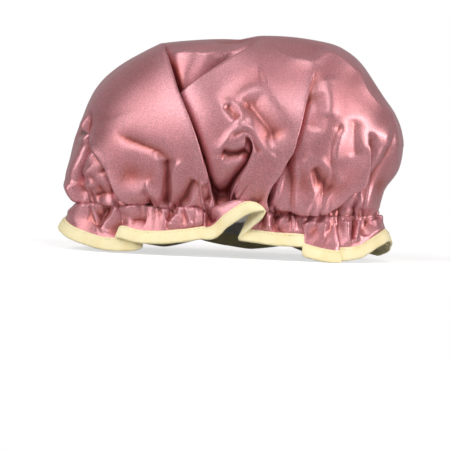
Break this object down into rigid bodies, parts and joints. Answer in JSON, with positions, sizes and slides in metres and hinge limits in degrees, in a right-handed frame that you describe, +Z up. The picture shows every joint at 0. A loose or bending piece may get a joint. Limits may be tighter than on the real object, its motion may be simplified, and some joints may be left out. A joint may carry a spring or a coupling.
{
  "type": "shower cap",
  "caption": "Bouffant shower cap: satin outer and waterproof liner gathered onto an elastic, with a flared ruffle edged in folded tape; keeps hair dry.",
  "frame": {"origin": "centre of the cap's footprint, on the surface that its hem stands on", "axes": "+Z up towards the crown's top, +X from the cap's left end to its right end as seen from the front, +Y from the front to the back"},
  "size_m": [0.2547, 0.1519, 0.166],
  "materials": {
    "satin": "dusty rose polyester satin with a soft sheen",
    "film": "milky white waterproof film",
    "binding": "cream folded tape, lightly glossy",
    "elastic": "off-white knitted elastic",
    "rose_thread": "rose sewing thread",
    "cream_thread": "cream sewing thread"
  },
  "bodies": {
    "root": {"satin_outer": "satin", "waterproof_liner": "film", "hem_binding": "binding", "elastic_casing": "film", "elastic_band": "elastic", "elastic_lap_tack": "cream_thread", "gather_stitch": "rose_thread", "binding_stitch": "cream_thread"}
  },
  "joints": []
}
